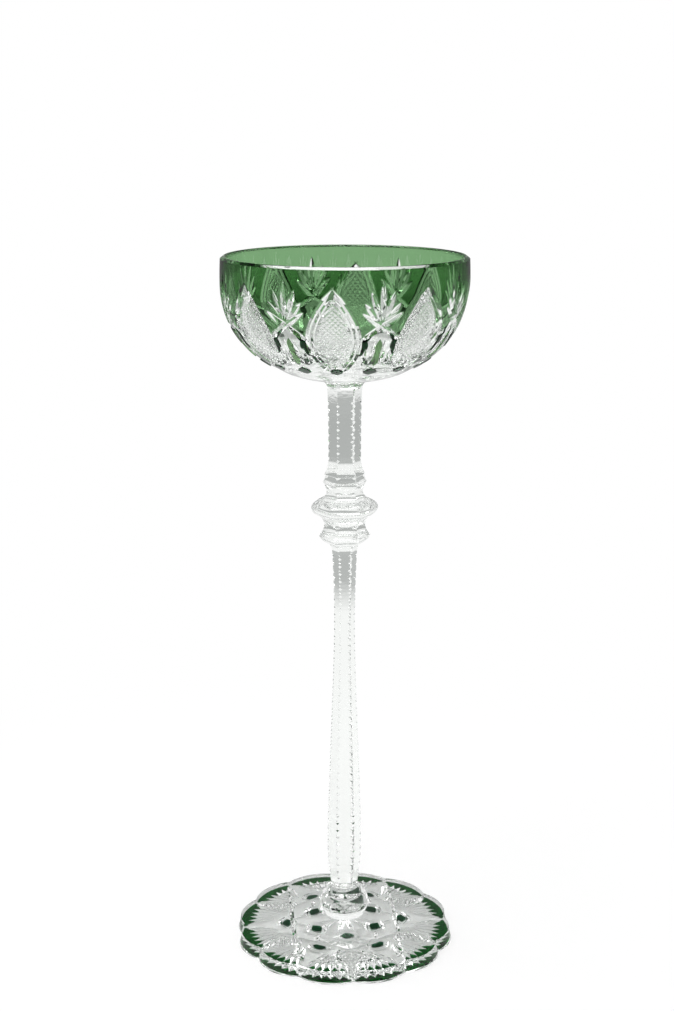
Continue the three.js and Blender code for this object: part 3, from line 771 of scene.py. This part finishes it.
rings = [stemRing(lowerRadius(share), shankBase + stem["lowerShank"] * share) for share in steps(91, 0, 1)]
stemPiece("lower_shank_cut", rings, cutCrystal, "lower_shank", 20,
          nickBox(lowerRadius, shankBase, stem["lowerShank"]))

collarBase = shankBase + stem["lowerShank"]
line = bends((5.9, 0), (9.6, 1.33), (10.1, 3.8), (8.1, 5.8), (8.1, 8.4))
stemPiece("lower_collar_cut", softRings(line, collarBase, 0.45), cutCrystal, "lower_collar", 30)

knopBase = collarBase + stem["lowerCollar"]
line = bends((8.1, 0), (8.7, 2.86), (10.65, 3.51), (13.2, 4.42), (13.2, 6.89),
             (12.6, 9.1), (9.65, 10.01), (7.4, 11.05), (7.1, 13))
stemPiece("knop_cut", softRings(line, knopBase, 0.45), cutCrystal, "knop", 30)

upperCollarBase = knopBase + stem["knop"]
line = bends((7.1, 0), (7.4, 2.2), (8.65, 4), (7.8, 5), (7.6, 6.8))
stemPiece("upper_collar_cut", softRings(line, upperCollarBase, 0.35), cutCrystal, "upper_collar", 30)

upperForm = {"radius": 6.4, "flareHeight": 6, "flare": 1.65, "swell": 0.4}
upperBase = upperCollarBase + stem["upperCollar"]


def upperRadius(share):  # flared below, and a little fuller towards the top
    flareEnd = upperForm["flareHeight"] / stem["upperShank"]
    if share < flareEnd:
        return upperForm["radius"] + upperForm["flare"] * (1 - share / flareEnd) ** 2
    return upperForm["radius"] + upperForm["swell"] * ((share - flareEnd) / (1 - flareEnd)) ** 3


rings = [stemRing(7.6, upperBase)]
rings += [stemRing(upperRadius(share), upperBase + stem["upperShank"] * share) for share in steps(41, 0, 1)]
stemPiece("upper_shank_cut", rings, cutCrystal, "upper_shank", 20,
          nickBox(upperRadius, upperBase, stem["upperShank"]))

mereseBase = upperBase + stem["upperShank"]  # from the shank's six sides to the bowl's round seat
rings = [stemRing(6.8 + 2.6 * share ** 2, mereseBase + stem["merese"] * share, share)
         for share in steps(9, 0, 1)]
stemPiece("merese_blown", rings, blownCrystal, "merese", 30)
print("stem made")


# Foot: a scalloped disc with its cutting underneath
foot = {
    "radius": 45.0, "gap": 42.4, "lobes": 12, "lobesFrom": 32, "rimTop": 5.1, "bevel": 0.35, "seat": 8.4,
    "rise": 3.9,  # of the dome above the rim, in two shares
    "cone": 0.18, "swell": 0.82,
    "slope": 0.8,  # the wall leans in towards its top
    "chamfer": (0.3, 0.7),  # at the wall's lower edge
    "casing": 0.12,  # green layer
    "field": 0.25,  # how deep the ground between the green is taken off
    "inset": 1.9,  # clear ring outside the green
    "segments": 360,
}
crescents = {"width": 7.8, "span": 13.8, "over": 0.6}
lozenges = {"long": 5.8, "wide": 4.4, "roundness": 1.7, "at": ((0, 13.4), (30, 23.2))}  # degrees and reach
star = {"points": 6, "at": 21.0, "half": 36.4, "depth": 1.4}
chain = {"at": 11.6, "depth": 1.1, "clear": 3.4}
smallStar = {"inner": 1.2, "outer": 10.8, "depth": 1.5}
eyes = {"half": 5.4, "bulge": 3.2, "depth": 1.45}
footFan = {"base": 22.5, "rays": 6, "spread": 27.0, "start": 2.0, "solid": 0.36, "depth": 1.8,
           "deepestAt": 0.7, "runOut": 0.05}
kite = {"inner": 21.5, "outer": 40.0, "half": 5.8, "widestAt": 0.34, "mitre": 1.5, "past": 2.5,
        "spacing": 1.75, "middle": 30, "margin": 0.7, "depth": 0.7, "most": 12, "reach": 16}
lobeHalf = 180 / foot["lobes"]
starHalf = 180 / star["points"]
halfChord = foot["gap"] * math.sin(math.radians(lobeHalf))
sagitta = foot["radius"] - foot["gap"] * math.cos(math.radians(lobeHalf))
lobeRadius = (halfChord ** 2 + sagitta ** 2) / (2 * sagitta)
lobeCentre = foot["radius"] - lobeRadius


def inLobe(angle):  # degrees from the middle of the nearest lobe
    return angle % (2 * lobeHalf) - lobeHalf


def footOutline(angle):
    local = math.radians(inLobe(angle))
    return lobeCentre * math.cos(local) + math.sqrt(lobeRadius ** 2 - (lobeCentre * math.sin(local)) ** 2)


def scallop(bm):  # draws the round edge in between the lobes
    for vert in bm.verts:
        reach = math.hypot(vert.co.x, vert.co.y)
        share = min(max((reach - foot["lobesFrom"]) / (foot["radius"] - foot["lobesFrom"]), 0), 1.05)
        angle = math.degrees(math.atan2(vert.co.x, -vert.co.y))
        shrink = 1 - share * share * (1 - footOutline(angle) / foot["radius"])
        vert.co.x *= shrink
        vert.co.y *= shrink
    return bm


def underFoot(x, y, height):
    return Vector((x, y, -height))


def onPlan(angle, reach):
    spot = around(angle, reach, 0)
    return (spot.x, spot.y)


def levelLine(height, first, last):
    return [(reach, height) for reach in steps(12, first, last)]


bevel = foot["bevel"]
greenEnd = foot["radius"] - foot["inset"]
wallFoot = foot["radius"] - foot["chamfer"][0]
topRim = wallFoot - foot["slope"]
edge = [(greenEnd, 0), (foot["radius"], 0), (wallFoot, foot["chamfer"][1])]
edge += [(topRim - bevel * (1 - math.cos(swing)), foot["rimTop"] - bevel + bevel * math.sin(swing))
         for swing in steps(6, 0, math.pi / 2)]
dome = []
for share in steps(22, 0, 1):
    reach = foot["seat"] + (edge[-1][0] - foot["seat"]) * (1 - share)
    lift = foot["cone"] * share + foot["swell"] * share * share * (3 - 2 * share)
    dome.append((reach, foot["rimTop"] + foot["rise"] * lift))
under = levelLine(foot["casing"] + seamGap, 0, greenEnd)
footPiece = makeObject("foot_disc", scallop(lathe([
    (under, 1),
    ([under[-1], edge[0]], 1),
    (edge, 0),
    (dome, 0),
    ([(foot["seat"], stem["footTop"]), (0, stem["footTop"])], 1),
], foot["segments"])), [footCrystal, fusedJoin])
footCasing = makeObject("green_rim", scallop(lathe([
    (levelLine(0, 0, greenEnd), 0),
    ([(greenEnd, 0), (greenEnd, foot["casing"])], 1),
    (levelLine(foot["casing"], greenEnd, 0), 1),
], foot["segments"])), [blownCrystal, fusedJoin])


def crescentEdge(angle, part):  # part 0 is the outer edge of the green, 1 its inner edge
    share = inLobe(angle) / crescents["span"]
    return footOutline(angle) - foot["inset"] - part * max(crescents["width"] * (1 - share * share), 0.05)


keep = cutterBox("kept_green")
low, high = -2, 2  # a kept island's cutter goes right through the casing
sections = []
for share in steps(17, -1, 1):
    angle = lobeHalf + crescents["span"] * share
    outer = footOutline(angle) - foot["inset"] + crescents["over"]
    inner = crescentEdge(angle, 1)
    sections.append([around(angle, reach, height)
                     for reach, height in ((inner, low), (outer, low), (outer, high), (inner, high))])
addCutter(keep, sweep(sections), foot["lobes"])
for angle, reach in lozenges["at"]:
    sections = []
    for share in steps(9, -1, 1):
        half = max(lozenges["wide"] / 2 * (1 - abs(share) ** lozenges["roundness"]), 0.05)
        x = lozenges["long"] / 2 * share
        sections.append([Vector((x, y, height)) for y, height in (
            (-reach - half, low), (-reach + half, low), (-reach + half, high), (-reach - half, high))])
    addCutter(keep, sweep(sections), star["points"], angle)
fieldEnd = greenEnd + 0.02  # a little past the casing
field = makeObject("field", scallop(lathe([
    (levelLine(-1, 0, fieldEnd), 0),
    ([(fieldEnd, -1), (fieldEnd, foot["field"])], 0),
    (levelLine(foot["field"], fieldEnd, 0), 0),
], foot["segments"])), [cutCrystal])
combine(field, keep, "DIFFERENCE")
clearBox(keep)

footCuts = cutterBox("foot_cuts")
moveInto(footCuts, field)


def footStroke(path, depths, flare, repeats, turn=0.0):
    addCutter(footCuts, wheelStroke(underFoot, path, depths, flare), repeats, turn)


for k in range(star["points"]):  # the large star
    path = straightPath((-star["half"], -star["at"]), (star["half"], -star["at"]), 25)
    footStroke(path, leafDepths(25, star["depth"], 0.45), 0.8, 1, starHalf * (1 + 2 * k))
near = chain["at"] * math.tan(math.radians(starHalf))
far = chain["at"] * math.tan(math.radians(2 * starHalf))
for first, last in ((-far, -near), (near, far)):  # leaves from the inner to the outer lozenges
    path = straightPath((first + chain["clear"], -chain["at"]), (last - chain["clear"], -chain["at"]), 11)
    footStroke(path, leafDepths(11, chain["depth"], 0.6), 1.0, star["points"], starHalf)
path = straightPath(onPlan(lobeHalf, smallStar["inner"]), onPlan(lobeHalf, smallStar["outer"]), 11)
footStroke(path, leafDepths(11, smallStar["depth"], 0.6), 0.9, foot["lobes"])  # a small star under the button
for angle, reach in lozenges["at"]:  # the eye round each lozenge
    for side in (-1, 1):
        path = [(x, -reach + side * eyes["bulge"] * (1 - (x / eyes["half"]) ** 2))
                for x in steps(15, -eyes["half"], eyes["half"])]
        footStroke(path, leafDepths(15, eyes["depth"], 0.5), 0.8, star["points"], angle)
for share in steps(footFan["rays"], -1, 1):  # the fan of each lobe, which bites into its green
    base = Vector(onPlan(lobeHalf, footFan["base"]))
    way = Vector(onPlan(lobeHalf + footFan["spread"] * share, 1))
    reach = footFan["start"]
    spot = base
    while spot.length < crescentEdge(math.degrees(math.atan2(spot.x, -spot.y)), footFan["solid"]):
        reach += 0.1
        spot = base + way * reach
    path = straightPath(base + way * footFan["start"], base + way * reach, 15)
    depths = [footFan["depth"] * min(t / footFan["deepestAt"], (1 - t) / (1 - footFan["deepestAt"]))
              - footFan["runOut"] for t in steps(15, 0, 1)]
    footStroke(path, depths, 1.05, foot["lobes"])


def kiteHalf(reach):
    share = (reach - kite["inner"]) / (kite["outer"] - kite["inner"])
    if not 0 < share < 1:
        return 0.0
    if share < kite["widestAt"]:
        return kite["half"] * math.sin(math.pi / 2 * share / kite["widestAt"]) ** 0.7
    return kite["half"] * math.cos(math.pi / 2 * (share - kite["widestAt"]) / (1 - kite["widestAt"]))


def insideKite(k, slant):  # the points of one hatch line that a kite holds
    diagonal = 0.7071
    inside = []
    for t in steps(161, -kite["reach"], kite["reach"]):
        x = (k * kite["spacing"] + t) * diagonal
        reach = kite["middle"] + slant * (t - k * kite["spacing"]) * diagonal
        if abs(x) < kiteHalf(reach) - kite["margin"]:
            inside.append((x, -reach))
    return inside


def kiteHatch(first, last):
    end = foot["field"] - runOut
    full = foot["field"] + kite["depth"]
    return wheelStroke(underFoot, straightPath(first, last, 4), [end, full, full, end], 1.1,
                       hatchLift - foot["field"])


for side in (-1, 1):  # the two outlines of each kite
    reaches = steps(17, kite["inner"] + 0.05, kite["outer"] + kite["past"])
    path = [(side * kiteHalf(reach), -reach) for reach in reaches]
    footStroke(path, leafDepths(17, kite["mitre"], 0.45), 0.9, star["points"])
addHatch(footCuts, kite["most"], insideKite, kiteHatch, star["points"])

for piece in (footPiece, footCasing):
    combine(piece, footCuts, "DIFFERENCE")
clearBox(footCuts)
paint(footCasing, {blownCrystal: footGreen, cutCrystal: footGreen, satinCut: footGreen, fusedJoin: footJoinWithShade})
finishPiece(footPiece, ["foot_crystal"])
counts = {"crescent": 0, "lozenge": 0}
for island in looseParts(footCasing):
    spot = middle(island)
    family = "crescent" if math.hypot(spot.x, spot.y) > foot["lobesFrom"] else "lozenge"
    node = nearestNode(island, "foot_" + family)[0]
    counts[family] += 1
    island.name = node.replace("foot_", "green_")
    if family == "lozenge":
        paint(island, {footJoinWithShade: lozengeJoinWithShade})
    finishPiece(island, [node])
print("foot cut:", len(footPiece.data.polygons), "faces,", counts)


# Studio: a white table in a pale room, soft light from above
studio = {
    "tableRadius": 1.8, "tableDrop": 0.0002,
    # painted shade: a grey ring on the table, seen through the glass; to the camera the table stays white
    "shade": ((0.455, "ffffff"), (0.6, "bbbdbc"), (1.55, "bcbebd"), (1.74, "ffffff")),  # by metres
    "cameraGlow": {"From Min": 0.1, "From Max": 0.32, "To Min": 0.6, "To Max": 1.0},  # by metres
    "glassGlow": {"From Min": 0.08, "From Max": 0.35, "To Min": 0.1, "To Max": 0.75},
    # painted reflection: in reflections the table shows darker, the more so the farther off
    "paintedReflectionTone": {"From Min": 0.2, "From Max": 1.3, "To Min": 0.85, "To Max": 0.2},
    # painted reflection: the room shows at a fifth of its brightness in reflections
    "reflectionPaintedDim": 0.2, "roomLight": 0.55, "floor": "d8dad9", "ceiling": "f4f4f4",
    # painted shade: a grey band up above in the room, which only reflection and refraction rays see
    "glassRoomTones": ((0.45, "ffffff"), (0.72, "ffffff"), (0.78, "a4a8a6"), (0.86, "989c9a"), (0.91, "ffffff")),
    "lampWatts": 20.0, "lampSize": 1.4, "lampAt": (-0.3, -0.2, 1.7), "lampTurn": (-6, -10, 0),
}
bm = bmesh.new()
bmesh.ops.create_circle(bm, cap_ends=True, segments=128, radius=studio["tableRadius"])
bmesh.ops.translate(bm, verts=bm.verts[:], vec=(0, 0, -studio["tableDrop"]))
# White lacquered table: plain white, with painted shade, a soft grey ring far from the glass that only the
# stem shows
lacquer = bpy.data.materials.new("white_lacquered_table")
tree = emptyTree(lacquer)
place = addNode(tree, "ShaderNodeTexCoord")
away = addNode(tree, "ShaderNodeVectorMath", {"operation": "LENGTH"}, None, {0: place.outputs["Object"]})
reach = addNode(tree, "ShaderNodeMapRange", None, {"From Max": studio["tableRadius"]},
                {"Value": away.outputs["Value"]})
paintedShadeRamp = addNode(tree, "ShaderNodeValToRGB", None, None, {"Fac": reach.outputs["Result"]})
paintedShadeRamp.color_ramp.elements[0].color = linear("ffffff")
for at, colour in studio["shade"]:
    paintedShadeRamp.color_ramp.elements.new(at / studio["tableRadius"]).color = linear(colour)
path = addNode(tree, "ShaderNodeLightPath")
byGlassRay = {0: path.outputs["Is Glossy Ray"], 1: path.outputs["Is Transmission Ray"]}
tone = addNode(tree, "ShaderNodeMix", inColour, {7: linear("ffffff")},
               {0: path.outputs["Is Camera Ray"], 6: paintedShadeRamp.outputs["Color"]})
# painted reflection: reflection rays see the table darker with distance
mirrored = addNode(tree, "ShaderNodeMath", {"operation": "SUBTRACT", "use_clamp": True}, None, byGlassRay)
paintedReflectionTone = addNode(tree, "ShaderNodeMapRange", softly, studio["paintedReflectionTone"], {"Value": away.outputs["Value"]})
calm = addNode(tree, "ShaderNodeMix", inColour, None,
               {0: mirrored.outputs["Value"], 6: tone.outputs[2], 7: paintedReflectionTone.outputs["Result"]})
matt = addNode(tree, "ShaderNodeBsdfDiffuse", None, None, {"Color": calm.outputs[2]})
glow = addNode(tree, "ShaderNodeEmission", None, {"Strength": 1.0}, {"Color": calm.outputs[2]})
farGlow = addNode(tree, "ShaderNodeMapRange", softly, studio["cameraGlow"], {"Value": away.outputs["Value"]})
byCamera = addNode(tree, "ShaderNodeMath", {"operation": "MULTIPLY"}, None,
                   {0: farGlow.outputs["Result"], 1: path.outputs["Is Camera Ray"]})
shown = addNode(tree, "ShaderNodeMath", {"operation": "MAXIMUM"}, None, byGlassRay)
glassGlow = addNode(tree, "ShaderNodeMapRange", softly, studio["glassGlow"], {"Value": away.outputs["Value"]})
byGlass = addNode(tree, "ShaderNodeMath", {"operation": "MULTIPLY"}, None,
                  {0: shown.outputs["Value"], 1: glassGlow.outputs["Result"]})
amount = addNode(tree, "ShaderNodeMath", {"operation": "ADD", "use_clamp": True}, None,
                 {0: byCamera.outputs["Value"], 1: byGlass.outputs["Value"]})
table = addNode(tree, "ShaderNodeMixShader", None, None,
                {0: amount.outputs["Value"], 1: matt.outputs["BSDF"], 2: glow.outputs["Emission"]})
addNode(tree, "ShaderNodeOutputMaterial", None, None, {"Surface": table.outputs["Shader"]})
makeObject("table", bm, [lacquer])

# Pale room: white to the camera and an even light for everything else; reflection and refraction rays see it
# with painted shade, darker towards the floor and in a grey band up above, and reflections show it painted
# darker still
room = bpy.data.worlds.new("pale_room")
scene.world = room
tree = emptyTree(room)
place = addNode(tree, "ShaderNodeTexCoord")
axes = addNode(tree, "ShaderNodeSeparateXYZ", None, None, {"Vector": place.outputs["Generated"]})
rise = addNode(tree, "ShaderNodeMapRange", None, {"From Min": -1.0, "From Max": 1.0},
               {"Value": axes.outputs["Z"]})
glassRoomTones = addNode(tree, "ShaderNodeValToRGB", None, None, {"Fac": rise.outputs["Result"]})
glassRoomTones.color_ramp.elements[0].color = linear(studio["floor"])
glassRoomTones.color_ramp.elements[1].color = linear(studio["ceiling"])
for at, colour in studio["glassRoomTones"]:
    glassRoomTones.color_ramp.elements.new(at).color = linear(colour)
path = addNode(tree, "ShaderNodeLightPath")
byGlassRay = {0: path.outputs["Is Glossy Ray"], 1: path.outputs["Is Transmission Ray"]}
shown = addNode(tree, "ShaderNodeMath", {"operation": "ADD", "use_clamp": True}, None, byGlassRay)
light = addNode(tree, "ShaderNodeMix", inColour, {6: [studio["roomLight"]] * 3 + [1]},
                {0: shown.outputs["Value"], 7: glassRoomTones.outputs["Color"]})
seen = addNode(tree, "ShaderNodeMix", inColour, {7: linear("ffffff")},
               {0: path.outputs["Is Camera Ray"], 6: light.outputs[2]})
# painted reflection: reflection rays see the room at a fifth of its brightness
mirrored = addNode(tree, "ShaderNodeMath", {"operation": "SUBTRACT", "use_clamp": True}, None, byGlassRay)
dim = addNode(tree, "ShaderNodeMapRange", None, {"To Min": 1.0, "To Max": studio["reflectionPaintedDim"]},
              {"Value": mirrored.outputs["Value"]})
back = addNode(tree, "ShaderNodeBackground", None, None,
               {"Color": seen.outputs[2], "Strength": dim.outputs["Result"]})
addNode(tree, "ShaderNodeOutputWorld", None, None, {"Surface": back.outputs["Background"]})

lampData = bpy.data.lights.new("soft_box", "AREA")
lampData.energy = studio["lampWatts"]
lampData.size = studio["lampSize"]
lamp = bpy.data.objects.new("soft_box", lampData)
lamp.location = studio["lampAt"]
lamp.rotation_euler = [math.radians(turn) for turn in studio["lampTurn"]]
scene.collection.objects.link(lamp)

scene.cycles.max_bounces = 32
scene.cycles.transmission_bounces = 32
scene.cycles.glossy_bounces = 16
scene.cycles.diffuse_bounces = 4
scene.cycles.transparent_max_bounces = 64
scene.cycles.caustics_refractive = True
scene.cycles.caustics_reflective = True
scene.cycles.use_denoising = True
scene.view_settings.view_transform = "Standard"
print("studio set")
